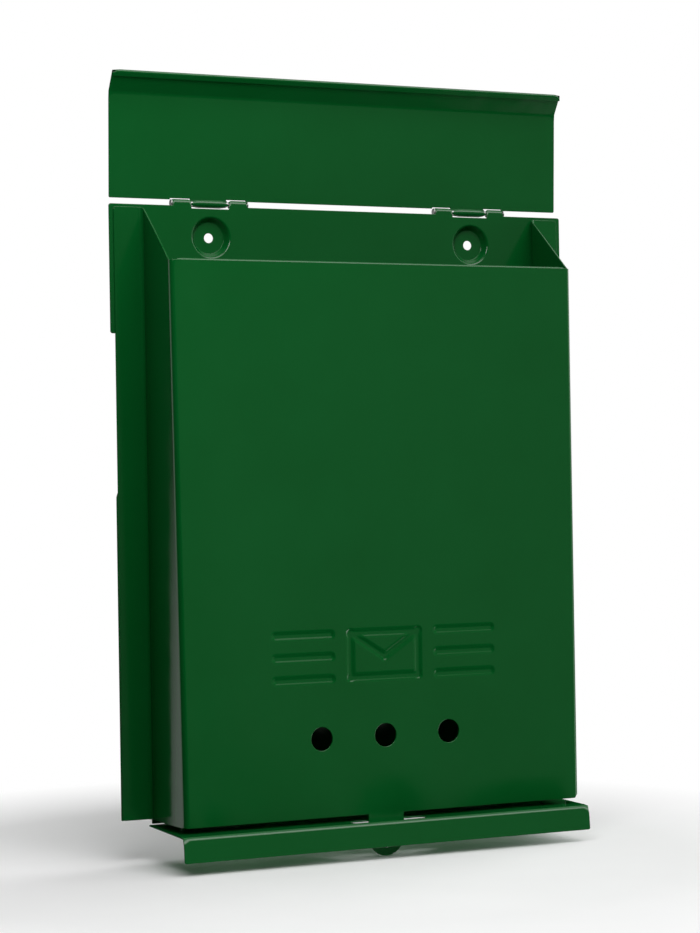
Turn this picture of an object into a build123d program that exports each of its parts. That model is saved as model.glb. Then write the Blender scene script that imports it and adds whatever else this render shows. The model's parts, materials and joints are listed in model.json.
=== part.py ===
from build123d import *
from math import cos, radians, sin
import os

# Wall-mounted mailbox of thin painted sheet steel, in millimetres.
# X runs along the wall to the right, +Y points into the wall, +Z is up.
# Heights are worked out above the casing's bottom edge, and every piece is moved down by
# screw_height when it is written, so the origin is on the wall midway between the two wall screws.

# ---- driving dimensions ----
sheet = 0.8                  # thickness of every sheet part
casing_width = 225.0         # across the outside of the two side walls
casing_depth = 41.8          # front of the flanges to the front panel's face
front_height = 282.0         # top of the front panel's hem
corner_height = 281.2        # the front panel's two corners, beside its hem
back_height = 313.0          # top edge of the back panel
side_height = 311.5          # rear end of the sloping side edges, and the flanges' top
flange_width = 255.6         # across both flanges
ear_width = 260.2            # the back panel's widest part, at its top
ear_low = 247.0              # lower edge of the ears
lid_width = 257.6
door_width = 227.3
screw_height = 297.0         # the wall screws, above the casing's bottom edge
screw_spacing = 150.0

# ---- hinges: sheet tongues curled round short wire pins ----
pin_radius = 1.25
pin_clearance = 0.05
knuckle_bore = pin_radius + pin_clearance
knuckle_radius = knuckle_bore + sheet
curl_turn = 295.0            # how far a tongue wraps round its pin, in degrees
hinge_centres = (-75.0, 75.0)
outer_knuckle = 10.0         # the two knuckles of the back panel in each hinge
middle_knuckle = 20.0        # the knuckle of the lid or the door between them
knuckle_gap = 0.4
notch_reach = 2.6            # a sheet's edge keeps this far from the axis beside the other's knuckle
edge_reach = 1.9             # the lid's and the door's hinged edge, from the axis
notch_margin = 0.5
pin_head_radius = 1.9
pin_head_length = 0.7
pin_head_gap = 0.15

# ---- planes and axes that follow from them ----
axis_y = -knuckle_radius                     # knuckles are tangent to the wall at Y = 0
back_front_y = axis_y - knuckle_radius       # front face of the back panel
back_rear_y = back_front_y + sheet
flange_front_y = back_front_y - sheet
front_y = flange_front_y - casing_depth      # outer face of the front panel
lid_axis_z = back_height + 1.4
door_axis_z = -1.7

# ---- casing ----
flange_bend = 2.0            # inside radius between flange and side wall
corner_bend = 1.7            # inside radius between side wall and front panel
flange_corner = 1.5
hem_radius = 0.25            # inside radius of the front panel's top hem
hem_leg = 8.0
hem_half_width = 108.5
peep_radius = 6.0
peep_spacing = 36.0
peep_height = 40.0
lug_width = 20.0
lug_tip = -22.0
padlock_hole_radius = 4.5
padlock_hole_z = -13.3

# ---- pressed envelope sign on the front panel ----
emboss_height = 81.5         # its middle, above the casing's bottom edge
emboss_depth = 0.9           # it is pressed in
stroke_width = 4.4
envelope_width = 38.0
envelope_height = 22.6
bar_inner = 30.0
bar_outer = 61.0

# ---- back panel ----
ear_corner = 1.2
lower_part_top = 164.0       # below this the panel is a little wider than the flanges
lower_part_width = 256.6
waist_width = 254.0
skirt_half_width = 112.0     # inside the casing the bottom edge hangs down to the door's plate,
skirt_low = -2.6             # except beside each hinge, where it clears the pin's heads
skirt_gap_half = 21.7
boss_base_radius = 11.0
boss_flat_radius = 8.0
screw_hole_radius = 2.5

# ---- lid ----
lid_lean = 2.3               # the open lid leans forward from the vertical, in degrees
lid_reach = 55.4             # hinge axis to the bend of the lip, along the plate
lip_turn = 32.3
lip_length = 13.0
lip_bend = 4.0
lip_hem = 2.2

# ---- bottom door ----
door_lip_y = flange_front_y - 51.6           # lower edge of the door's lip, its foremost point
door_lip_height = 12.7
door_lip_turn = 84.0         # the lip stands out a little at its lower edge
door_bend = 1.3
slot_half_length = 21.0
slot_rear_y = -44.8
slot_front_y = -52.5
slot_corner = 2.5


def sheet_section(start, heading, moves):
    """Face of a folded sheet, seen along its bends, that follows the sheet's middle line.

    A move is (length, 0) for a flat run or (inside radius, turn in degrees) for a bend,
    where a positive turn is to the left.
    """
    half = sheet / 2
    place = Vector(*start)
    angle = radians(heading)
    left_edges = []
    right_edges = []

    def side_point(centre, direction, side):
        return centre + Vector(-sin(direction), cos(direction)) * (half * side)

    first = (side_point(place, angle, 1), side_point(place, angle, -1))
    for size, turn in moves:
        before = (side_point(place, angle, 1), side_point(place, angle, -1))
        if turn == 0:
            place = place + Vector(cos(angle), sin(angle)) * size
            left_edges.append(Line(before[0], side_point(place, angle, 1)))
            right_edges.append(Line(before[1], side_point(place, angle, -1)))
            continue
        hand = 1 if turn > 0 else -1
        middle_radius = size + half
        centre = place + Vector(-sin(angle), cos(angle)) * (middle_radius * hand)
        for fraction in (0.5, 1.0):
            swung = angle + radians(turn) * fraction
            spot = centre - Vector(-sin(swung), cos(swung)) * (middle_radius * hand)
            if fraction == 0.5:
                halfway = (side_point(spot, swung, 1), side_point(spot, swung, -1))
        place = spot
        angle = swung
        after = (side_point(place, angle, 1), side_point(place, angle, -1))
        left_edges.append(ThreePointArc(before[0], halfway[0], after[0]))
        right_edges.append(ThreePointArc(before[1], halfway[1], after[1]))
    last = (side_point(place, angle, 1), side_point(place, angle, -1))
    caps = [Line(last[0], last[1]), Line(first[0], first[1])]
    return make_face(left_edges + right_edges + caps)


def across(section, low_x, high_x):
    """Solid made from a section drawn in Y and Z, from one X to another."""
    plane = Plane(origin=(low_x, 0, 0), x_dir=(0, 1, 0), z_dir=(1, 0, 0))
    return extrude(plane * section, amount=high_x - low_x)


def block(low, high):
    """Box between two corners."""
    size = [b - a for a, b in zip(low, high)]
    return Pos(*low) * Box(*size, align=(Align.MIN, Align.MIN, Align.MIN))


def front_plane(y):
    """Sketch plane that faces the street: its own X and Y are the part's X and Z."""
    return Plane(origin=(0, y, 0), x_dir=(1, 0, 0), z_dir=(0, -1, 0))


def through_front(sketch, rear, front):
    """Solid of a sketch on the front plane, from one Y to another nearer the street."""
    return extrude(front_plane(rear) * sketch, amount=rear - front)


def middle_span(centre, margin=0.0):
    """X range of the lid's or the door's knuckle in one hinge."""
    half = middle_knuckle / 2 + margin
    return centre - half, centre + half


def outer_spans(centre, margin=0.0):
    """X ranges of the back panel's two knuckles in one hinge."""
    inner = middle_knuckle / 2 + knuckle_gap
    outer = inner + outer_knuckle
    return [
        (centre - outer - margin, centre - inner + margin),
        (centre + inner - margin, centre + outer + margin),
    ]


def curled_tongue(tongue_length, span, axis, heading, hand):
    """Tongue that starts tongue_length before the axis and curls round the pin.

    heading is the way it runs before it curls, and hand is 1 when it curls to the left.
    """
    direction = radians(heading)
    along = Vector(cos(direction), sin(direction))
    to_side = Vector(-sin(direction), cos(direction)) * hand
    start = Vector(*axis) - along * tongue_length - to_side * (knuckle_bore + sheet / 2)
    moves = [(tongue_length, 0), (knuckle_bore, curl_turn * hand)]
    return across(sheet_section((start.X, start.Y), heading, moves), *span)


def wire_pin(centre, axis_z):
    """Short wire pin with a peened head at each end."""
    half = middle_knuckle / 2 + knuckle_gap + outer_knuckle + pin_head_gap
    wire = Rot(0, 90, 0) * Cylinder(pin_radius, 2 * half)
    for side in (-1, 1):
        head = Rot(0, 90, 0) * Cylinder(pin_head_radius, pin_head_length)
        head = fillet(head.edges().filter_by(GeomType.CIRCLE), 0.25)
        wire += Pos(side * (half + pin_head_length / 2), 0, 0) * head
    return Pos(centre, axis_y, axis_z) * wire


def make_back_panel():
    """Flat back with ears at the top, two screw bosses and four curled hinge tongues."""
    half_outline = [
        (0, skirt_low),
        (skirt_half_width, skirt_low),
        (skirt_half_width, 0),
        (lower_part_width / 2, 0),
        (lower_part_width / 2, lower_part_top),
        (waist_width / 2, lower_part_top + 4),
        (waist_width / 2, ear_low),
        (ear_width / 2, ear_low),
        (ear_width / 2, back_height),
        (0, back_height),
    ]
    half_face = make_face(Polyline(*half_outline, close=True))
    outline = half_face + mirror(half_face, about=Plane.YZ)
    ears = [v for v in outline.vertices() if abs(abs(v.X) - ear_width / 2) < 0.01]
    outline = fillet(ears, ear_corner)
    panel = through_front(outline, back_rear_y, back_front_y)

    for centre in hinge_centres:
        panel -= block((centre - skirt_gap_half, -10, -5), (centre + skirt_gap_half, 10, 0))
        low, high = middle_span(centre, notch_margin)
        panel -= block((low, -10, lid_axis_z - notch_reach), (high, 10, back_height + 5))
        panel -= block((low, -10, -5), (high, 10, door_axis_z + notch_reach))
        for span in outer_spans(centre):
            lid_tongue = lid_axis_z - back_height + 4
            door_tongue = 4 - door_axis_z
            panel += curled_tongue(lid_tongue, span, (axis_y, lid_axis_z), 90, -1)
            panel += curled_tongue(door_tongue, span, (axis_y, door_axis_z), -90, 1)

    depth = -back_rear_y
    facing_wall = Rot(-90, 0, 0)
    for x in (-screw_spacing / 2, screw_spacing / 2):
        outside = Cone(boss_base_radius, boss_flat_radius, depth)
        inside = Cone(boss_base_radius - sheet, boss_flat_radius - sheet, depth)
        centre_y = back_rear_y + depth / 2
        panel += Pos(x, centre_y, screw_height) * facing_wall * outside
        panel -= Pos(x, centre_y - sheet, screw_height) * facing_wall * inside
        panel -= Pos(x, 0, screw_height) * facing_wall * Cylinder(screw_hole_radius, 20)
    return panel


def casing_wrap():
    """Flanges, side walls and front panel, bent from one strip, with the sloping top."""
    half = casing_width / 2
    flange_run = flange_width / 2 - half - flange_bend
    side_run = casing_depth - sheet - flange_bend - corner_bend
    front_run = casing_width - 2 * (corner_bend + sheet)
    moves = [
        (flange_run, 0),
        (flange_bend, -90),
        (side_run, 0),
        (corner_bend, 90),
        (front_run, 0),
        (corner_bend, 90),
        (side_run, 0),
        (flange_bend, -90),
        (flange_run, 0),
    ]
    start = (-flange_width / 2, flange_front_y + sheet / 2)
    wrap = extrude(sheet_section(start, 0, moves), amount=side_height)

    corner_y = front_y + corner_bend + sheet
    above_slope = [
        (flange_front_y, side_height),
        (flange_front_y, side_height + 5),
        (front_y - 5, side_height + 5),
        (front_y - 5, corner_height),
        (corner_y, corner_height),
    ]
    wrap -= across(make_face(Polyline(*above_slope, close=True)), -half - 2, half + 2)
    return wrap


def hem_strip():
    """Top of the front panel, folded over towards the inside."""
    bend_z = front_height - hem_radius - sheet
    moves = [(4.0, 0), (hem_radius, -180), (hem_leg, 0)]
    section = sheet_section((front_y + sheet / 2, bend_z - 4.0), 90, moves)
    return across(section, -hem_half_width, hem_half_width)


def stroke(start, end, width):
    """Straight pressed line with round ends."""
    run = Vector(*end) - Vector(*start)
    middle = (Vector(*start) + Vector(*end)) * 0.5
    slot = SlotCenterToCenter(run.length, width)
    return Pos(middle.X, middle.Y) * Rot(0, 0, Vector(1, 0, 0).get_signed_angle(run)) * slot


def envelope_sign(width):
    """Plain envelope between two sets of three bars."""
    x = envelope_width / 2
    low = emboss_height - envelope_height / 2
    high = emboss_height + envelope_height / 2
    fold = (0, emboss_height - 1.0)
    lines = [
        ((-x, low), (x, low)),
        ((x, low), (x, high)),
        ((x, high), (-x, high)),
        ((-x, high), (-x, low)),
        ((-x, high), fold),
        (fold, (x, high)),
    ]
    for z in (low, emboss_height, high):
        lines.append(((-bar_outer, z), (-bar_inner, z)))
        lines.append(((bar_inner, z), (bar_outer, z)))
    sign = Sketch()
    for start, end in lines:
        sign += stroke(start, end, width)
    return sign


def padlock_lug():
    """Tab with a round end that hangs from the front panel's bottom edge."""
    half = lug_width / 2
    tab = Pos(0, (2 + lug_tip + half) / 2) * Rectangle(lug_width, 2 - lug_tip - half)
    tab += Pos(0, lug_tip + half) * Circle(half)
    tab -= Pos(0, padlock_hole_z) * Circle(padlock_hole_radius)
    return through_front(tab, front_y + sheet, front_y)


def make_front_casing():
    """Front panel, side walls and flanges in one sheet, with its lug, holes and pressed sign."""
    casing = casing_wrap()
    hem_start = front_height - hem_radius - sheet
    casing -= block((-hem_half_width, front_y - 2, hem_start), (hem_half_width, front_y + 2, front_height + 2))
    casing += hem_strip()
    casing += padlock_lug()

    ridge = envelope_sign(stroke_width)
    casing += through_front(ridge, front_y + sheet + emboss_depth, front_y + emboss_depth / 2)
    groove = envelope_sign(stroke_width - 2 * sheet)
    casing -= through_front(groove, front_y + emboss_depth, front_y - 1)
    for x in (-peep_spacing, 0, peep_spacing):
        hole = Pos(x, peep_height) * Circle(peep_radius)
        casing -= through_front(hole, front_y + 5, front_y - 5)

    corners = [
        edge
        for edge in casing.edges().filter_by(Axis.Y)
        if abs(abs(edge.center().X) - flange_width / 2) < 0.01
    ]
    return fillet(corners, flange_corner)


def make_lid():
    """Plate with a bent, hemmed lip along its free edge and two curled hinge tongues.

    It is drawn shut against the wall, upright, and then leans forward to its open rest.
    """
    plate_y = axis_y + knuckle_bore + sheet / 2
    bend_reach = (lip_bend + sheet) * sin(radians(lip_turn)) / (1 + cos(radians(lip_turn)))
    plate_top = lid_axis_z + lid_reach - bend_reach
    plate_low = lid_axis_z + edge_reach
    moves = [
        (plate_top - plate_low, 0),
        (lip_bend, lip_turn),
        (lip_length - bend_reach - hem_radius - sheet, 0),
        (hem_radius, 180),
        (lip_hem, 0),
    ]
    section = sheet_section((plate_y, plate_low), 90, moves)
    lid = across(section, -lid_width / 2, lid_width / 2)
    for centre in hinge_centres:
        for low, high in outer_spans(centre, notch_margin):
            lid -= block((low, -10, plate_low - 2), (high, 10, lid_axis_z + notch_reach))
        tongue = edge_reach + 4
        lid += curled_tongue(tongue, middle_span(centre), (axis_y, lid_axis_z), -90, -1)
    low_corners = [
        edge
        for edge in lid.edges().filter_by(Axis.Y)
        if abs(abs(edge.center().X) - lid_width / 2) < 0.01 and edge.center().Z < plate_low + 0.01
    ]
    lid = fillet(low_corners, 0.8)
    hinge_line = Axis((0, axis_y, lid_axis_z), (1, 0, 0))
    return lid.rotate(hinge_line, lid_lean)


def make_bottom_door():
    """Plate under the casing with a lip bent down in front, a slot for the lug and two tongues."""
    plate_z = door_axis_z - knuckle_bore - sheet / 2
    plate_rear = axis_y - edge_reach
    turn = radians(door_lip_turn)
    bend_middle = door_bend + sheet / 2
    bend_drop = bend_middle * (1 - cos(turn))
    lip_run = (door_lip_height - sheet / 2 * (1 + cos(turn)) - bend_drop) / sin(turn)
    bend_reach = (bend_middle + sheet / 2) * sin(turn)
    plate_front = door_lip_y + bend_reach + lip_run * cos(turn)
    moves = [
        (plate_rear - plate_front, 0),
        (door_bend, door_lip_turn),
        (lip_run, 0),
    ]
    section = sheet_section((plate_rear, plate_z), 180, moves)
    door = across(section, -door_width / 2, door_width / 2)
    slot_size = (2 * slot_half_length, slot_rear_y - slot_front_y)
    slot = RectangleRounded(*slot_size, slot_corner)
    middle = (slot_rear_y + slot_front_y) / 2
    door -= extrude(Pos(0, middle, plate_z - 1) * slot, amount=2)
    for centre in hinge_centres:
        for low, high in outer_spans(centre, notch_margin):
            door -= block((low, axis_y - notch_reach, -8), (high, 0, 0))
        tongue = edge_reach + 4
        door += curled_tongue(tongue, middle_span(centre), (axis_y, door_axis_z), 0, 1)
    lip_corners = [
        edge
        for edge in door.edges()
        if abs(edge.length - sheet) < 0.01
        and abs(abs(edge.center().X) - door_width / 2) < 0.01
        and edge.center().Z < plate_z - door_lip_height / 2
    ]
    return fillet(lip_corners, 1.0)


def write(shape, name):
    """Move a piece to the screw-line origin and write it."""
    export_step(Pos(0, 0, -screw_height) * shape, f"parts/{name}.step")


os.makedirs("parts", exist_ok=True)
write(make_back_panel(), "back_panel")
write(make_front_casing(), "front_casing")
write(make_lid(), "lid")
write(make_bottom_door(), "bottom_door")
for side_name, side_centre in zip(("left", "right"), hinge_centres):
    write(wire_pin(side_centre, lid_axis_z), f"lid_hinge_pin_{side_name}")
    write(wire_pin(side_centre, door_axis_z), f"door_hinge_pin_{side_name}")
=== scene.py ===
import json
from math import ceil, cos, pi, radians, sin, tan

import bpy
import numpy as np
from mathutils import Matrix, Vector
from mathutils.geometry import delaunay_2d_cdt


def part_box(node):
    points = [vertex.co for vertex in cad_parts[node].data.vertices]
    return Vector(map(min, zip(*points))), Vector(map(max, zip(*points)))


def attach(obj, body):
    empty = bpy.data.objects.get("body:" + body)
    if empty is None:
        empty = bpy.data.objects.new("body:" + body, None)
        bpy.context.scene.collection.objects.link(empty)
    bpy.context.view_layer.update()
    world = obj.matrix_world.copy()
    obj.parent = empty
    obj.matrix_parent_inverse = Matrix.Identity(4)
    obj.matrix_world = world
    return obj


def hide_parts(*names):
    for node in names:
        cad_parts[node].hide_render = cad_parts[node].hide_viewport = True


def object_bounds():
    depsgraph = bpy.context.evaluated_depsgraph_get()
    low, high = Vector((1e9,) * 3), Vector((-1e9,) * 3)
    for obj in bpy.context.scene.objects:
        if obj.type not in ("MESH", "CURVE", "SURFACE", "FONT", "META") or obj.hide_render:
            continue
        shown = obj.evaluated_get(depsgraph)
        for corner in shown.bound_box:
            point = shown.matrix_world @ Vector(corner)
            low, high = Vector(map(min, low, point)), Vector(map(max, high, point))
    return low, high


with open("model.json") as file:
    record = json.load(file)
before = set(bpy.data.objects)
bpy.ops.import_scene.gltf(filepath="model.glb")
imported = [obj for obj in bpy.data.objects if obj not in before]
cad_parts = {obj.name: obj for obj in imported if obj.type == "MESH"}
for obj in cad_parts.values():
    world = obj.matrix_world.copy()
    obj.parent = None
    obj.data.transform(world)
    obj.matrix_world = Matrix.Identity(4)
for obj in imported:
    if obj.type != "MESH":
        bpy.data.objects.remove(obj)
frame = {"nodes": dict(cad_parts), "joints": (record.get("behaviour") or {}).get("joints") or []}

cad_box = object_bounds()

# Wall-mounted mailbox of enamelled sheet steel. Sizes are in millimetres and heights are counted
# from the casing's bottom edge, as they are on the real sheets. A flat pattern's first coordinate
# runs across the box and its second one along its height or along a folded section.
MM = 0.001


def box_mm(node):
    """Lowest and highest corner of a CAD node, in millimetres in the row frame."""
    low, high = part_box(node)
    return [c / MM for c in low], [c / MM for c in high]


def hinge_axis(joint_name):
    """Y and height, in the row frame, of a joint's axis."""
    for joint in frame["joints"]:
        if joint["name"] == joint_name:
            return joint["pos_m"][1] / MM, joint["pos_m"][2] / MM
    raise ValueError(joint_name)


# ---- sizes that the sheets share ----
sheet = 0.8                  # thickness
edge_round = 0.26            # enamel rounds the cut edges
small_corner = 0.45          # corners of a cut outline
lug_tip = -22.0
casing_low, casing_high = box_mm("front_casing")
panel_high = box_mm("back_panel")[1]
door_low, door_high = box_mm("bottom_door")
screw_height = lug_tip - casing_low[2]       # the frame's origin above the casing's bottom edge
axis_y, lid_axis_z = hinge_axis("lid_hinge")
door_axis_z = hinge_axis("door_hinge")[1] + screw_height
lid_axis_z += screw_height

# ---- hinges ----
knuckle_bore = -axis_y - sheet
curl_turn = 295.0
curl_length = (knuckle_bore + sheet / 2) * radians(curl_turn)
hinge_centres = (-75.0, 75.0)
outer_knuckle = 10.0
middle_knuckle = 20.0
knuckle_gap = 0.4
notch_reach = 2.6
notch_margin = 0.5
edge_reach = 1.9

# ---- back panel ----
back_height = 313.0
back_middle_y = 2 * axis_y + sheet / 2
ear_half = panel_high[0]
ear_low = 247.0
ear_corner = 1.2
lower_part_half = 128.3
lower_part_top = 164.0
waist_half = 127.0
skirt_half = 112.0           # inside the casing the bottom edge hangs down to the door's plate,
skirt_low = -2.6             # except beside each hinge, where it clears the pin's heads
skirt_gap_half = 21.7
boss_base_radius = 11.0
boss_flat_radius = 8.0
screw_half_spacing = 75.0
screw_hole_radius = 2.5

# ---- casing ----
flange_front_y = 2 * axis_y - sheet
casing_half = 112.5
flange_half = casing_high[0]
emboss_depth = 0.46          # softer than on the CAD sheet
front_y = casing_low[1]
front_height = 282.0
corner_height = 281.2
side_height = 311.5
flange_bend = 2.0
corner_bend = 1.7
flange_corner = 1.5
hem_bend = 0.25
hem_leg = 8.0
hem_half_width = 108.5
hem_start = front_height - hem_bend - sheet
lug_half = 10.0
padlock_hole_radius = 4.5
padlock_hole_z = -13.3
peep_radius = 6.0
peep_spacing = 36.0
peep_height = 40.0
wall_lean_bottom = 3.0       # how far the left wall's front edge leans in, at its bottom
wall_lean_loss = 3.8         # and how much less it does so at its top

# ---- how the front panel strays from flat: depth of each hollow, pushed in ----
lug_hollow = 1.1             # above the lug's root
lug_hollow_half = 10.0
lug_hollow_top = 23.0
edge_hollow = 0.70           # along the bottom edge's right half
edge_hollow_top = 15.0
corner_hollow = 0.25         # near the bottom edge's left end
hem_hollow = 0.16            # below the hem
hem_hollow_height = 13.0
dimple_depth = 0.10          # a knock near the top left corner
dimple_place = (-93.0, 262.0)
dimple_radius = 7.0
wave_height = 0.10           # slow waves all over

# ---- pressed envelope sign ----
sign_height = 81.5
stroke_half = 2.8            # from a stroke's middle to where it fades into the panel
envelope_half_width = 19.0
envelope_half_height = 11.3
bar_inner = 30.0
bar_outer = 61.0

# ---- lid ----
lid_half = 128.8
lid_lean = 2.3
lid_reach = 55.4
lip_turn = 32.3
lip_length = 13.0
lip_bend = 4.0
lip_hem = 2.2

# ---- bottom door ----
door_half = door_high[0]
door_lip_y = door_low[1]     # its lower edge, which stands out a little
door_lip_height = 12.7
door_lip_turn = 84.0
door_bend = 1.3
slot_half_length = 21.0
slot_rear = 44.8
slot_front = 52.5
slot_corner = 2.5

# ---- mesh fineness ----
flat_step = 4.0
turn_step = 9.0
sign_step = 0.6
slope_step = 0.02            # for the slopes of a surface
rim_clearance = 0.25         # from the mesh's inner points to the rim
rim_angles = (30, 60, 90, 90, 120, 150)


# ---- studio lamps: name, azimuth from the front to the right, elevation, half angle, strength ----
studio_lamps = [
    ("ceiling", 60, 74, 38, 1.05),
    ("above the camera", 20, 48, 22, 3.3),
    ("right, at the back", 104, 26, 24, 2.9),
    ("right", 75, 0, 18, 0.9),
    ("left, at the back", -128, 2, 22, 0.9),
    ("low on the right", 75, -30, 22, 3.6),
    ("low in front, on the left", -25, -45, 18, 0.3),
    ("below, at the back", 180, -62, 32, 1.2),
]
front_glow = ("what the front panel mirrors", 36, -2, 18, 0.165)
glow_low_edge = -9.0         # it ends here, so the panel's lowest part mirrors the dark

# ---- near lamp, floor and camera, in metres ----
near_lamp_place = (-0.26, -0.38, 0.22)
near_lamp_target = (-0.1, 0, 0.03)
near_lamp_width = 0.25
near_lamp_power = 0.9
floor_radius = 0.35
floor_middle = (-0.04, -0.02)
floor_drop = 0.0002          # below the lug's tip
floor_fade_start = 0.20
floor_fade_margin = 0.02
camera_place = (-0.50849, -1.14304, -0.12425)
camera_right = (0.91258811, -0.4085591, -0.01619916)
camera_up = (0.01310944, -0.01036171, 0.99986038)
camera_lens = 91.04


# ======== folded sheets ========

def follow(x, y, heading, curve, distance):
    """Point and heading after a distance along a straight run (curve 0) or a bend."""
    turned = heading + curve * distance
    middle = heading + curve * distance / 2
    chord = distance * np.sinc(curve * distance / (2 * pi))
    return x + chord * np.cos(middle), y + chord * np.sin(middle), turned


class SheetPath:
    """Middle line of a folded sheet, seen along its bends.

    A move is (length, 0) for a flat run or (inside radius, turn in degrees) for a bend, and a
    positive turn is to the left. Distances along the path are counted from first_place.
    """

    def __init__(self, start, heading, moves, first_place=0.0):
        x, y, heading = start[0], start[1], radians(heading)
        place = first_place
        rows = []
        for size, turn in moves:
            length = size if turn == 0 else (size + sheet / 2) * abs(radians(turn))
            curve = radians(turn) / length
            rows.append((place, x, y, heading, curve))
            x, y, heading = follow(x, y, heading, curve, length)
            place += length
        self.rows = np.array(rows)
        self.end = (x, y, heading)
        self.last_place = place

    def at(self, places):
        """X, Y and heading of the middle line at places along the path."""
        index = np.searchsorted(self.rows[:, 0], places, side="right") - 1
        start, x, y, heading, curve = self.rows[np.clip(index, 0, None)].T
        return follow(x, y, heading, curve, places - start)

    def grid_lines(self):
        """Places along the path where the mesh has lines: close together only in the bends."""
        starts = list(self.rows[:, 0]) + [self.last_place]
        lines = [starts[0]]
        for low, high, curve in zip(starts, starts[1:], self.rows[:, 4]):
            turn = abs(curve) * (high - low)
            steps = ceil(turn / radians(turn_step)) if turn else ceil((high - low) / flat_step)
            lines.extend(np.linspace(low, high, steps + 1)[1:])
        return np.array(lines)


def curl_start(axis, heading, hand):
    """Free end of a curled tongue, and the way that the sheet runs there towards its plate.

    heading is the way the tongue runs before it curls round the axis, to the left for hand 1.
    """
    direction = radians(heading)
    side = np.array((-sin(direction), cos(direction))) * hand
    tangent = np.array(axis) - side * (knuckle_bore + sheet / 2)
    end = SheetPath(tangent, heading, [(knuckle_bore, curl_turn * hand)]).end
    return end[:2], np.degrees(end[2]) + 180


def lines(low, high, step):
    """Evenly spaced places from low to high, about step apart."""
    return np.linspace(low, high, max(1, ceil((high - low) / step)) + 1)


def grid(first, second):
    """All points with a first coordinate from one list and a second from the other."""
    return np.array(np.meshgrid(first, second)).reshape(2, -1).T


def rings(centre, radii, count=48):
    """Points on circles round a centre."""
    angles = np.linspace(0, 2 * pi, count, endpoint=False)
    unit = np.column_stack((np.cos(angles), np.sin(angles)))
    return np.concatenate([np.array(centre) + unit * radius for radius in radii])


def in_rectangle(points, low, high):
    """True for the points between two corners."""
    return ((points >= low) & (points <= high)).all(1)


def rounded(corners, radius=small_corner):
    """Closed outline with its corners rounded. A corner is (u, v) or (u, v, its own radius)."""
    outline = []
    count = len(corners)
    for i, corner in enumerate(corners):
        here = np.array(corner[:2], float)
        before = here - np.array(corners[i - 1][:2])
        after = np.array(corners[(i + 1) % count][:2]) - here
        own_radius = corner[2] if len(corner) > 2 else radius
        turn = np.arctan2(before[0] * after[1] - before[1] * after[0], before @ after)
        if abs(turn) < 0.05 or own_radius == 0:
            outline.append(here)
            continue
        before /= np.linalg.norm(before)
        start = here - before * own_radius * tan(abs(turn) / 2)
        curve = np.sign(turn) / own_radius
        heading = np.arctan2(before[1], before[0])
        for part in np.linspace(0, abs(turn) * own_radius, ceil(abs(turn) / 0.3) + 1):
            outline.append(np.array(follow(start[0], start[1], heading, curve, part)[:2]))
    return divided(np.array(outline))


def divided(outline, step=flat_step):
    """Closed outline with its long stretches divided."""
    points = []
    for here, there in zip(outline, np.roll(outline, -1, 0)):
        steps = ceil(np.linalg.norm(there - here) / step)
        if steps:
            points.extend(here + (there - here) * k / steps for k in range(steps))
    return np.array(points)


def circle(centre, radius, count=48):
    """Hole outline, which runs clockwise."""
    return rings(centre, [radius], count)[::-1]


def mirrored(half):
    """Whole outline from its right half, listed from the bottom middle to the top middle."""
    left = [(-corner[0], *corner[1:]) for corner in reversed(half) if corner[0] > 0]
    return half + left


def outward(loop):
    """Mitred outward direction at each point of a loop that has the sheet on its left."""
    ahead = np.roll(loop, -1, 0) - loop
    ahead /= np.linalg.norm(ahead, axis=1)[:, None]
    normal = np.column_stack((ahead[:, 1], -ahead[:, 0]))
    before = np.roll(normal, 1, 0)
    return (normal + before) / (1 + (normal * before).sum(1))[:, None]


def inside(points, loops, clearance=0.0):
    """True for points inside the first loop, outside the holes and clear of every edge."""
    result = np.zeros(len(points), bool)
    near = np.zeros(len(points), bool)
    x, y = points.T
    for loop in loops:
        for (x0, y0), (x1, y1) in zip(loop, np.roll(loop, -1, 0)):
            if (y0 > y1) != (y0 < y1):
                crosses = (y0 > y) != (y1 > y)
                result ^= crosses & (x < x0 + (y - y0) * (x1 - x0) / (y1 - y0))
            if clearance:
                along = np.clip(((x - x0) * (x1 - x0) + (y - y0) * (y1 - y0))
                                / ((x1 - x0) ** 2 + (y1 - y0) ** 2), 0, 1)
                gap = np.hypot(x - x0 - along * (x1 - x0), y - y0 - along * (y1 - y0))
                near |= gap < clearance
    return result & ~near


def surface(shape, flat):
    """Middle surface over points of the flat pattern, with its normal and two tangents."""
    step = slope_step
    across_u = (shape(flat + (step, 0)) - shape(flat - (step, 0))) / (2 * step)
    across_v = (shape(flat + (0, step)) - shape(flat - (0, step))) / (2 * step)
    normal = np.cross(across_u, across_v)
    normal /= np.linalg.norm(normal, axis=1)[:, None]
    return shape(flat), normal, across_u, across_v


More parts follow.
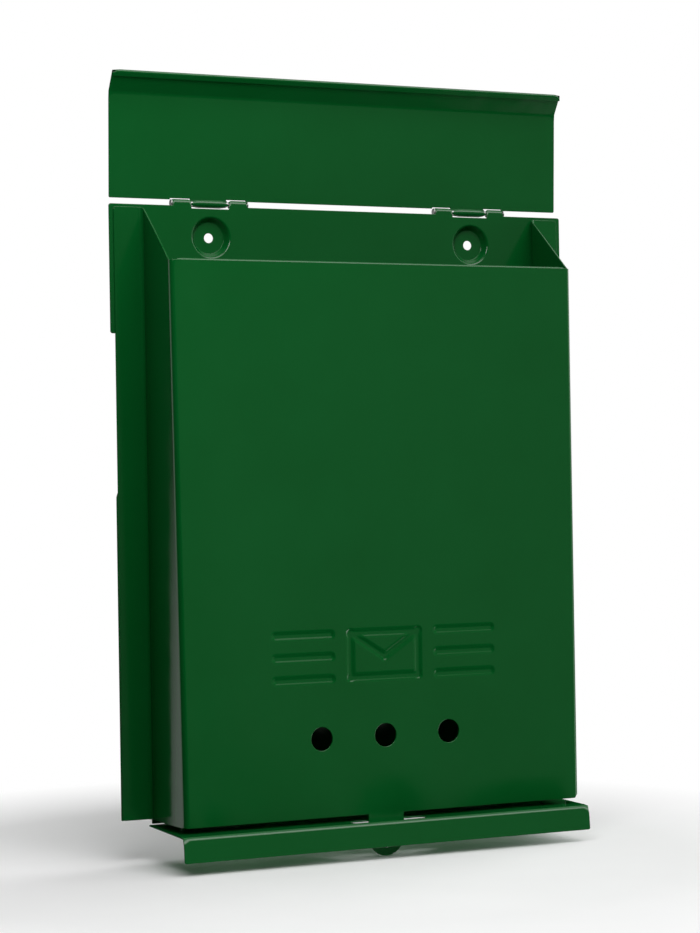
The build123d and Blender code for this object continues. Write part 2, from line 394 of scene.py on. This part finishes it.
def sheet_piece(name, body, loops, shape, points):
    """Bent sheet with rounded edges, as a mesh that rides on a body and replaces its CAD node.

    loops are the flat pattern's outline and holes, shape bends points of the pattern into the
    row frame, and points are those that the mesh should have inside the outline.
    """
    half = sheet / 2
    inner_loops = [loop - outward(loop) * edge_round for loop in loops]
    rim = np.concatenate(inner_loops)
    seeds = np.concatenate([rim, points[inside(points, inner_loops, rim_clearance)]])
    edges = []
    for loop in inner_loops:
        first = len(edges)
        edges += [(first + i, first + (i + 1) % len(loop)) for i in range(len(loop))]
    found = delaunay_2d_cdt([Vector(p) for p in seeds], edges, [], 0, 1e-4)
    flat = np.array([tuple(p) for p in found[0]])
    triangles = np.array(found[2])
    triangles = triangles[inside(flat[triangles].mean(1), inner_loops)]
    new_index = np.zeros(len(seeds), int)
    for index, originals in enumerate(found[3]):
        new_index[originals] = index

    middle, normal, _, _ = surface(shape, flat)
    count = len(flat)
    positions = [middle + normal * half, middle - normal * half]
    normals = [normal, -normal]
    faces = list(triangles) + list(triangles[:, ::-1] + count)

    angles = [radians(a) for a in rim_angles]
    edge_flat = np.concatenate(loops)
    edge_out = np.concatenate([outward(loop) for loop in loops])
    first_row = 2 * count
    for row, angle in enumerate(angles):
        offset = edge_round * (sin(angle) - 1)
        level = cos(angle) * edge_round + (half - edge_round) * (1 if row < 3 else -1)
        at, up, along_u, along_v = surface(shape, edge_flat + edge_out * offset)
        side = along_u * edge_out[:, :1] + along_v * edge_out[:, 1:]
        side /= np.linalg.norm(side, axis=1)[:, None]
        positions.append(at + up * level)
        normals.append(up * cos(angle) + side * sin(angle))
    row_length = len(rim)
    rows = [new_index[:row_length]]
    rows += [np.arange(row_length) + first_row + k * row_length for k in range(len(angles))]
    rows += [new_index[:row_length] + count]
    for here, there in edges:
        for upper, lower in zip(rows, rows[1:]):
            faces.append((upper[here], lower[here], lower[there], upper[there]))

    positions = np.concatenate(positions)
    positions[:, 2] -= screw_height
    normals = np.concatenate(normals)
    mesh = bpy.data.meshes.new(name)
    mesh.from_pydata((positions * MM).tolist(), [], [[int(i) for i in face] for face in faces])
    mesh.polygons.foreach_set("use_smooth", np.ones(len(mesh.polygons), bool))
    mesh.update()
    mesh.normals_split_custom_set_from_vertices(normals.tolist())
    piece = bpy.data.objects.new(name, mesh)
    bpy.context.scene.collection.objects.link(piece)
    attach(piece, body)
    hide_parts(name.removesuffix("_sheet"))
    return piece


def swell(distance, flat_radius, base_radius):
    """1 within flat_radius, 0 beyond base_radius, and a smooth slope between them."""
    part = np.clip((base_radius - distance) / (base_radius - flat_radius), 0, 1)
    return part * part * (3 - 2 * part)


def outer_tongues(edge, end, notch):
    """Corners of the back panel's hinged edge, from the right to the middle: two tongues in each
    hinge, with the notch for the other sheet's knuckle between them."""
    centre = hinge_centres[1]
    inner = middle_knuckle / 2 + knuckle_gap
    outer = inner + outer_knuckle
    return [
        (centre + outer, edge),
        (centre + outer, end),
        (centre + inner, end),
        (centre + inner, notch),
        (centre - inner, notch),
        (centre - inner, end),
        (centre - outer, end),
        (centre - outer, edge),
    ]


def middle_tongue(edge, end, notch):
    """Corners of the lid's or the door's hinged edge, from the middle to the right: one tongue in
    each hinge, with a notch on each side for the back panel's knuckles."""
    centre = hinge_centres[1]
    half = middle_knuckle / 2
    outer = half + knuckle_gap + outer_knuckle + notch_margin
    return [
        (centre - outer, edge),
        (centre - outer, notch),
        (centre - half, notch),
        (centre - half, end),
        (centre + half, end),
        (centre + half, notch),
        (centre + outer, notch),
        (centre + outer, edge),
    ]


# ======== back panel ========

def make_back_panel():
    """Flat back with ears, two pressed screw bosses and four curled hinge tongues."""
    start, heading = curl_start((axis_y, door_axis_z), -90, 1)
    moves = [
        (knuckle_bore, -curl_turn),
        (lid_axis_z - door_axis_z, 0),
        (knuckle_bore, -curl_turn),
    ]
    path = SheetPath(start, heading, moves, door_axis_z - curl_length)
    screws = [(side * screw_half_spacing, screw_height) for side in (-1, 1)]

    def shape(flat):
        y, z, turned = path.at(flat[:, 1])
        hinge_side = np.abs(np.abs(flat[:, 0]) - hinge_centres[1])
        plain = (hinge_side > skirt_gap_half - 0.2) & (flat[:, 1] < 0)
        y = np.where(plain, back_middle_y, y)
        z = np.where(plain, flat[:, 1], z)
        turned = np.where(plain, pi / 2, turned)
        lift = np.zeros(len(flat))
        for screw in screws:
            away = np.linalg.norm(flat - screw, axis=1)
            lift += swell(away, boss_flat_radius, boss_base_radius)
        lift *= -back_middle_y - sheet / 2
        return np.column_stack((flat[:, 0], y + lift * np.sin(turned), z - lift * np.cos(turned)))

    bottom = outer_tongues(0.0, path.rows[0, 0], door_axis_z + notch_reach)
    top = outer_tongues(back_height, path.last_place, lid_axis_z - notch_reach)
    centre = hinge_centres[1]
    half = [
        (0, skirt_low, 0),
        (centre - skirt_gap_half, skirt_low),
        (centre - skirt_gap_half, 0),
        *reversed(bottom),
        (centre + skirt_gap_half, 0),
        (centre + skirt_gap_half, skirt_low),
        (skirt_half, skirt_low),
        (skirt_half, 0),
        (lower_part_half, 0),
        (lower_part_half, lower_part_top, 3.0),
        (waist_half, lower_part_top + 4, 3.0),
        (waist_half, ear_low),
        (ear_half, ear_low, ear_corner),
        (ear_half, back_height, ear_corner),
        *top,
        (0, back_height, 0),
    ]
    loops = [rounded(mirrored(half))]
    loops += [circle(screw, screw_hole_radius) for screw in screws]
    points = grid(lines(-ear_half, ear_half, flat_step), path.grid_lines())
    for screw in screws:
        points = points[np.linalg.norm(points - screw, axis=1) > boss_base_radius + 1.5]
    radii = (3.2, 4.5, 6, 7.5, 8, 8.4, 8.8, 9.2, 9.6, 10, 10.4, 10.8, 11.2, 12)
    points = np.concatenate([points] + [rings(screw, radii) for screw in screws])
    return sheet_piece("back_panel_sheet", "box", loops, shape, points)


# ======== front casing ========

def capsule_distance(flat, start, end):
    """Distance from points to a line between two places."""
    start, end = np.array(start), np.array(end)
    run = end - start
    along = np.clip((flat - start) @ run / (run @ run), 0, 1)
    return np.linalg.norm(flat - start - along[:, None] * run, axis=1)


def sign_strokes():
    """Middle lines of the pressed sign: an envelope between two sets of three bars."""
    x = envelope_half_width
    low = sign_height - envelope_half_height
    high = sign_height + envelope_half_height
    fold = (0.0, sign_height - 1.0)
    strokes = [
        ((-x, low), (x, low)),
        ((x, low), (x, high)),
        ((x, high), (-x, high)),
        ((-x, high), (-x, low)),
        ((-x, high), fold),
        (fold, (x, high)),
    ]
    for z in (low, sign_height, high):
        strokes.append(((-bar_outer, z), (-bar_inner, z)))
        strokes.append(((bar_inner, z), (bar_outer, z)))
    return strokes


def pressed_sign(flat):
    """How far the sign is pressed into the panel."""
    level = np.ones(len(flat))
    margin = 4.0
    low = (-bar_outer - margin, sign_height - envelope_half_height - margin)
    high = (bar_outer + margin, sign_height + envelope_half_height + margin)
    near = in_rectangle(flat, low, high)
    for start, end in sign_strokes():
        level[near] *= 1 - swell(capsule_distance(flat[near], start, end), 0.3, stroke_half)
    return emboss_depth * (1 - level)


def hump(x, middle, half_width):
    """Smooth hump 1 high."""
    return np.exp(-((x - middle) / half_width) ** 2)


def pushed_in(x, z):
    """How far the thin front panel is pushed in: it is hollow where it was bent, cut and folded."""
    near_edge = np.clip(1 - np.clip(z, 0, None) / edge_hollow_top, 0, 1) ** 2
    near_lug = np.clip(1 - np.clip(z, 0, None) / lug_hollow_top, 0, 1) ** 2
    near_hem = np.clip((z - front_height + hem_hollow_height) / hem_hollow_height, 0, 1) ** 2
    right_half = swell(-x, -78.0, -16.0) * (0.8 + 0.2 * np.cos(x / 11))
    depth = lug_hollow * hump(x, 3.0, lug_hollow_half * 1.5) * near_lug
    depth += edge_hollow * right_half * near_edge
    depth += corner_hollow * hump(x, -99.0, 7.0) * near_edge
    depth += hem_hollow * near_hem
    away = np.hypot(x - dimple_place[0], z - dimple_place[1])
    depth += dimple_depth * hump(away, 0.0, dimple_radius)
    wave = np.sin(x / 27 + z / 61 + 0.7) + np.sin(z / 33 - x / 52 + 2.1) + 0.6 * np.sin(x / 17 - 1.3)
    middle = np.clip((casing_half - np.abs(x)) / 30, 0, 1) * np.clip(z / 40, 0, 1)
    depth += wave_height * wave * middle
    return depth * swell(np.abs(x), casing_half - 16, casing_half - 3)


def casing_path():
    """Section of the casing from the left flange to the right one, counted from the middle."""
    flange_run = flange_half - casing_half - flange_bend
    side_run = flange_front_y - front_y - sheet - flange_bend - corner_bend
    front_run = 2 * (casing_half - corner_bend - sheet)
    side = [(flange_run, 0), (flange_bend, -90), (side_run, 0), (corner_bend, 90)]
    moves = side + [(front_run, 0)] + [(size, turn) for size, turn in reversed(side)]
    start = (-flange_half, flange_front_y + sheet / 2)
    whole = SheetPath(start, 0, moves).last_place
    return SheetPath(start, 0, moves, -whole / 2)


def make_front_casing():
    """Front panel, side walls and flanges in one sheet, with its hem, lug, holes and sign."""
    path = casing_path()
    hem_moves = [(hem_bend, -180), (hem_leg, 0)]
    hem = SheetPath((front_y + sheet / 2, hem_start), 90, hem_moves, hem_start)
    corner_y = front_y + corner_bend + sheet
    front_half = casing_half - corner_bend - sheet
    depth = flange_front_y - front_y

    def left_wall_lean(x, y, z):
        """The left wall isn't quite flat: it curves in towards the front, most at its bottom."""
        forward = np.clip((flange_front_y - y) / depth, 0, 1) ** 3
        nearness = np.clip((-x - 20) / (casing_half - 20), 0, 1)
        return forward * nearness * (wall_lean_bottom - wall_lean_loss * z / front_height)

    def shape(flat):
        u, v = flat.T
        x, y, turned = path.at(u)
        x = x + left_wall_lean(x, y, v)
        z = v.copy()
        sunk = (pressed_sign(flat) + pushed_in(u, v)) * (np.abs(u) < front_half)
        folded = (np.abs(u) < hem_half_width + 0.3) & (v > hem_start)
        hem_y, hem_z, _ = hem.at(v)
        y = np.where(folded, hem_y, y)
        z = np.where(folded, hem_z, z)
        return np.column_stack((x - sunk * np.sin(turned), y + sunk * np.cos(turned), z))

    def top_of(places):
        """Height of the sloping top edge."""
        y = path.at(places)[1]
        slope = (side_height - corner_height) / (flange_front_y - corner_y)
        return np.clip(corner_height + (y - corner_y) * slope, corner_height, side_height)

    end = path.last_place
    side_places = path.grid_lines()
    side_places = side_places[(side_places > front_half) & (side_places < end - 0.1)][::-1]
    half = [
        (0, lug_tip, 0),
        (lug_half, lug_tip, lug_half - 0.01),
        (lug_half, 0),
        (end, 0, flange_corner),
        (end, side_height, flange_corner),
        *[(u, z, 0) for u, z in zip(side_places, top_of(side_places))],
        (hem_half_width, corner_height, 0.2),
        (hem_half_width, hem.last_place),
        (0, hem.last_place, 0),
    ]
    loops = [rounded(mirrored(half))]
    loops.append(circle((0, padlock_hole_z), padlock_hole_radius))
    loops += [circle((side * peep_spacing, peep_height), peep_radius) for side in (-1, 0, 1)]

    across = path.grid_lines()
    heights = np.concatenate((lines(lug_tip, hem_start, flat_step), hem.grid_lines()))
    points = [grid(across, np.concatenate((heights, lines(hem_start + 4, side_height, flat_step))))]
    margin = stroke_half + 0.5
    low = np.array((-bar_outer - margin, sign_height - envelope_half_height - margin))
    high = np.array((bar_outer + margin, sign_height + envelope_half_height + margin))
    points[0] = points[0][~in_rectangle(points[0], low - 1, high + 1)]
    points.append(grid(lines(low[0], high[0], sign_step), lines(low[1], high[1], sign_step)))
    return sheet_piece("front_casing_sheet", "box", loops, shape, np.concatenate(points))


# ======== lid ========

def make_lid():
    """Plate with a bent, hemmed lip and two curled tongues, leaning forward a little."""
    start, heading = curl_start((axis_y, lid_axis_z), -90, -1)
    bend_reach = (lip_bend + sheet) * tan(radians(lip_turn) / 2)
    plate_top = lid_axis_z + lid_reach - bend_reach
    moves = [
        (knuckle_bore, curl_turn),
        (plate_top - lid_axis_z, 0),
        (lip_bend, lip_turn),
        (lip_length - bend_reach - hem_bend - sheet, 0),
        (hem_bend, 180),
        (lip_hem, 0),
    ]
    path = SheetPath(start, heading, moves, lid_axis_z - curl_length)
    lean = radians(lid_lean)

    def shape(flat):
        y, z, _ = path.at(flat[:, 1])
        y = y - axis_y
        z = z - lid_axis_z
        leaned_y = y * cos(lean) - z * sin(lean) + axis_y
        leaned_z = y * sin(lean) + z * cos(lean) + lid_axis_z
        return np.column_stack((flat[:, 0], leaned_y, leaned_z))

    plate_low = lid_axis_z + edge_reach
    half = [
        (0, plate_low, 0),
        *middle_tongue(plate_low, path.rows[0, 0], lid_axis_z + notch_reach),
        (lid_half, plate_low, 0.8),
        (lid_half, path.last_place),
        (0, path.last_place, 0),
    ]
    loops = [rounded(mirrored(half), 0.3)]
    points = grid(lines(-lid_half, lid_half, flat_step), path.grid_lines())
    return sheet_piece("lid_sheet", "lid", loops, shape, points)


# ======== bottom door ========

def make_bottom_door():
    """Plate with a lip bent down in front, a slot for the lug and two curled tongues."""
    start, heading = curl_start((axis_y, door_axis_z), 0, 1)
    turn = radians(door_lip_turn)
    bend_middle = door_bend + sheet / 2
    bend_drop = bend_middle * (1 - cos(turn))
    lip_run = (door_lip_height - sheet / 2 * (1 + cos(turn)) - bend_drop) / sin(turn)
    bend_reach = (bend_middle + sheet / 2) * sin(turn)
    plate_front = door_lip_y + bend_reach + lip_run * cos(turn)
    moves = [
        (knuckle_bore, -curl_turn),
        (axis_y - plate_front, 0),
        (door_bend, door_lip_turn),
        (lip_run, 0),
    ]
    path = SheetPath(start, heading, moves, -axis_y - curl_length)

    def shape(flat):
        y, z, _ = path.at(flat[:, 1])
        return np.column_stack((flat[:, 0], y, z))

    plate_rear = edge_reach - axis_y
    half = [
        (0, plate_rear, 0),
        *middle_tongue(plate_rear, path.rows[0, 0], notch_reach - axis_y),
        (door_half, plate_rear),
        (door_half, path.last_place, 1.0),
        (0, path.last_place, 0),
    ]
    slot = [
        (-slot_half_length, slot_rear, slot_corner),
        (-slot_half_length, slot_front, slot_corner),
        (slot_half_length, slot_front, slot_corner),
        (slot_half_length, slot_rear, slot_corner),
    ]
    loops = [rounded(mirrored(half)), rounded(slot)]
    points = grid(lines(-door_half, door_half, flat_step), path.grid_lines())
    return sheet_piece("bottom_door_sheet", "door", loops, shape, points)


# ======== materials ========

class Nodes:
    """Short way to add nodes to a material."""

    def __init__(self, name):
        self.material = bpy.data.materials.new(name)
        self.material.use_nodes = True
        self.tree = self.material.node_tree
        self.shader = self.tree.nodes["Principled BSDF"]
        self.place = self.add("ShaderNodeTexCoord").outputs["Object"]

    def add(self, kind, **settings):
        node = self.tree.nodes.new(kind)
        for key, value in settings.items():
            setattr(node, key, value)
        return node

    def link(self, source, target):
        self.tree.links.new(source, target)

    def noise(self, size_mm, detail=2.0, roughness=0.5):
        """Noise whose lumps are about size_mm wide."""
        node = self.add("ShaderNodeTexNoise")
        self.link(self.place, node.inputs["Vector"])
        node.inputs["Scale"].default_value = 1 / (size_mm * MM)
        node.inputs["Detail"].default_value = detail
        node.inputs["Roughness"].default_value = roughness
        return node.outputs["Fac"]

    def ramp(self, source, low, high, first, last):
        """Map a value from one range to another."""
        node = self.add("ShaderNodeMapRange")
        self.link(source, node.inputs["Value"])
        for name, value in zip(("From Min", "From Max", "To Min", "To Max"), (low, high, first, last)):
            node.inputs[name].default_value = value
        return node.outputs["Result"]

    def mix(self, factor, first, last):
        """Mix two colours."""
        node = self.add("ShaderNodeMix", data_type="RGBA")
        self.link(factor, node.inputs["Factor"])
        for socket, colour in (("A", first), ("B", last)):
            target = [i for i in node.inputs if i.name == socket and i.type == "RGBA"][0]
            if isinstance(colour, tuple):
                target.default_value = (*colour, 1)
            else:
                self.link(colour, target)
        return [o for o in node.outputs if o.type == "RGBA"][0]

    def bump(self, height, distance_mm, strength=1.0, normal=None):
        """Bump from a height."""
        node = self.add("ShaderNodeBump")
        node.inputs["Strength"].default_value = strength
        node.inputs["Distance"].default_value = distance_mm * MM
        self.link(height, node.inputs["Height"])
        if normal:
            self.link(normal, node.inputs["Normal"])
        return node.outputs["Normal"]


def green_enamel():
    """Glossy dark green enamel with faint orange peel and slightly uneven colour."""
    made = Nodes("green_enamel")
    shader = made.shader
    tone = made.ramp(made.noise(45, 3.0, 0.55), 0.3, 0.7, 0, 1)
    colour = made.mix(tone, (0.0020, 0.106, 0.0170), (0.0026, 0.114, 0.0195))
    made.link(colour, shader.inputs["Base Color"])
    rough = made.ramp(made.noise(14, 3.0), 0.3, 0.7, 0.10, 0.15)
    made.link(rough, shader.inputs["Roughness"])
    flow = made.bump(made.noise(9, 1.0), 0.05, 0.6)
    peel = made.bump(made.noise(1.6, 1.0), 0.012, 0.5, flow)
    made.link(peel, shader.inputs["Normal"])
    shader.inputs["IOR"].default_value = 1.52
    shader.inputs["Metallic"].default_value = 0.0
    return made.material


def hinge_wire():
    """Galvanised wire: dull zinc with a fine grain."""
    made = Nodes("hinge_wire")
    shader = made.shader
    tone = made.ramp(made.noise(2.5, 4.0, 0.6), 0.3, 0.7, 0, 1)
    made.link(made.mix(tone, (0.36, 0.37, 0.37), (0.58, 0.58, 0.56)), shader.inputs["Base Color"])
    made.link(made.ramp(made.noise(1.2, 3.0), 0.3, 0.7, 0.3, 0.5), shader.inputs["Roughness"])
    made.link(made.bump(made.noise(0.35, 2.0), 0.02, 0.5), shader.inputs["Normal"])
    shader.inputs["Metallic"].default_value = 1.0
    return made.material


def floor_paper(fade_start, fade_end):
    """Pale studio paper that is lit from below further out, so that its edge doesn't show."""
    made = Nodes("floor_paper")
    tone = made.ramp(made.noise(80, 2.0), 0.3, 0.7, 0, 1)
    made.link(made.mix(tone, (0.90, 0.90, 0.90), (0.92, 0.92, 0.92)), made.shader.inputs["Base Color"])
    made.shader.inputs["Roughness"].default_value = 0.9
    made.shader.inputs["Specular IOR Level"].default_value = 0.1
    distance = made.add("ShaderNodeVectorMath", operation="LENGTH")
    made.link(made.place, distance.inputs[0])
    fade = made.ramp(distance.outputs["Value"], fade_start, fade_end, 0, 1)
    glow = made.add("ShaderNodeEmission")
    both = made.add("ShaderNodeMixShader")
    made.link(fade, both.inputs[0])
    made.link(made.shader.outputs[0], both.inputs[1])
    made.link(glow.outputs[0], both.inputs[2])
    made.link(both.outputs[0], made.tree.nodes["Material Output"].inputs["Surface"])
    return made.material


# ======== studio ========

def make_floor():
    """Disc of pale paper at the height of the lug's tip, on which the box stands."""
    count = 96
    radius = floor_radius
    ring = [
        (radius * cos(2 * pi * k / count), radius * sin(2 * pi * k / count), 0)
        for k in range(count)
    ]
    mesh = bpy.data.meshes.new("floor")
    mesh.from_pydata(ring, [], [list(range(count))])
    floor = bpy.data.objects.new("floor", mesh)
    bpy.context.scene.collection.objects.link(floor)
    floor.location = (*floor_middle, cad_box[0][2] - floor_drop)
    floor.data.materials.append(floor_paper(floor_fade_start, radius - floor_fade_margin))
    floor.visible_diffuse = False
    floor.visible_glossy = False
    floor.visible_shadow = False


def direction_to(azimuth, elevation):
    """Direction of a lamp: azimuth counts from the front (-Y) to the right, in degrees."""
    turn, rise = radians(azimuth), radians(elevation)
    return Vector((sin(turn) * cos(rise), -cos(turn) * cos(rise), sin(rise)))


def near_lamp():
    """Small soft lamp close to the top left corner, on the lid, the ear and the upper flange."""
    data = bpy.data.lights.new("near_lamp", "AREA")
    data.shape = "DISK"
    data.size = near_lamp_width
    data.energy = near_lamp_power
    lamp = bpy.data.objects.new("near_lamp", data)
    lamp.location = near_lamp_place
    aim = Vector(near_lamp_target) - lamp.location
    lamp.rotation_euler = aim.to_track_quat("-Z", "Y").to_euler()
    bpy.context.scene.collection.objects.link(lamp)


def make_world():
    """White backdrop for the camera, and a ring of large soft lamps far away for the object."""
    world = bpy.data.worlds.new("studio")
    bpy.context.scene.world = world
    world.use_nodes = True
    tree = world.node_tree
    tree.nodes.clear()
    place = tree.nodes.new("ShaderNodeTexCoord").outputs["Generated"]

    def soft_step(source, low, high, top):
        node = tree.nodes.new("ShaderNodeMapRange")
        node.interpolation_type = "SMOOTHSTEP"
        tree.links.new(source, node.inputs["Value"])
        node.inputs["From Min"].default_value = low
        node.inputs["From Max"].default_value = high
        node.inputs["To Max"].default_value = top
        return node.outputs["Result"]

    def soft_lamp(name, azimuth, elevation, half_angle, strength):
        nearness = tree.nodes.new("ShaderNodeVectorMath")
        nearness.operation = "DOT_PRODUCT"
        nearness.label = name
        tree.links.new(place, nearness.inputs[0])
        nearness.inputs[1].default_value = direction_to(azimuth, elevation)
        outer = cos(radians(half_angle * 1.35))
        inner = cos(radians(half_angle * 0.65))
        return soft_step(nearness.outputs["Value"], outer, inner, strength)

    def join(operation, first, second):
        node = tree.nodes.new("ShaderNodeMath")
        node.operation = operation
        tree.links.new(first, node.inputs[0])
        tree.links.new(second, node.inputs[1])
        return node.outputs[0]

    up = tree.nodes.new("ShaderNodeSeparateXYZ")
    tree.links.new(place, up.inputs[0])
    low_edge = radians(glow_low_edge)
    cut = soft_step(up.outputs["Z"], sin(low_edge - 0.03), sin(low_edge + 0.03), 1.0)
    total = join("MULTIPLY", soft_lamp(*front_glow), cut)
    for lamp in studio_lamps:
        total = join("ADD", total, soft_lamp(*lamp))

    studio = tree.nodes.new("ShaderNodeBackground")
    tree.links.new(total, studio.inputs["Strength"])
    backdrop = tree.nodes.new("ShaderNodeBackground")
    both = tree.nodes.new("ShaderNodeMixShader")
    backdrop.inputs["Color"].default_value = (1, 1, 1, 1)
    tree.links.new(tree.nodes.new("ShaderNodeLightPath").outputs["Is Camera Ray"], both.inputs[0])
    tree.links.new(studio.outputs[0], both.inputs[1])
    tree.links.new(backdrop.outputs[0], both.inputs[2])
    tree.links.new(both.outputs[0], tree.nodes.new("ShaderNodeOutputWorld").inputs[0])


def make_camera():
    """Camera at the left of the box, a little below its middle, nearly level."""
    right = Vector(camera_right)
    up = Vector(camera_up)
    back = right.cross(up)
    data = bpy.data.cameras.new("camera")
    data.lens = camera_lens
    data.sensor_width = 36.0
    camera = bpy.data.objects.new("camera", data)
    turned = Matrix((right, up, back)).transposed().to_4x4()
    camera.matrix_world = Matrix.Translation(camera_place) @ turned
    bpy.context.scene.collection.objects.link(camera)
    bpy.context.scene.camera = camera


def main():
    """Build the sheets, give every piece its material and set up the studio."""
    enamel = green_enamel()
    for make in (make_back_panel, make_front_casing, make_lid, make_bottom_door):
        make().data.materials.append(enamel)
    wire = hinge_wire()
    for name, node in frame["nodes"].items():
        if "hinge_pin" in name:
            for material_slot in node.material_slots:
                material_slot.material = wire
    make_floor()
    make_world()
    near_lamp()
    make_camera()
    bpy.context.scene.view_settings.view_transform = "Standard"


main()
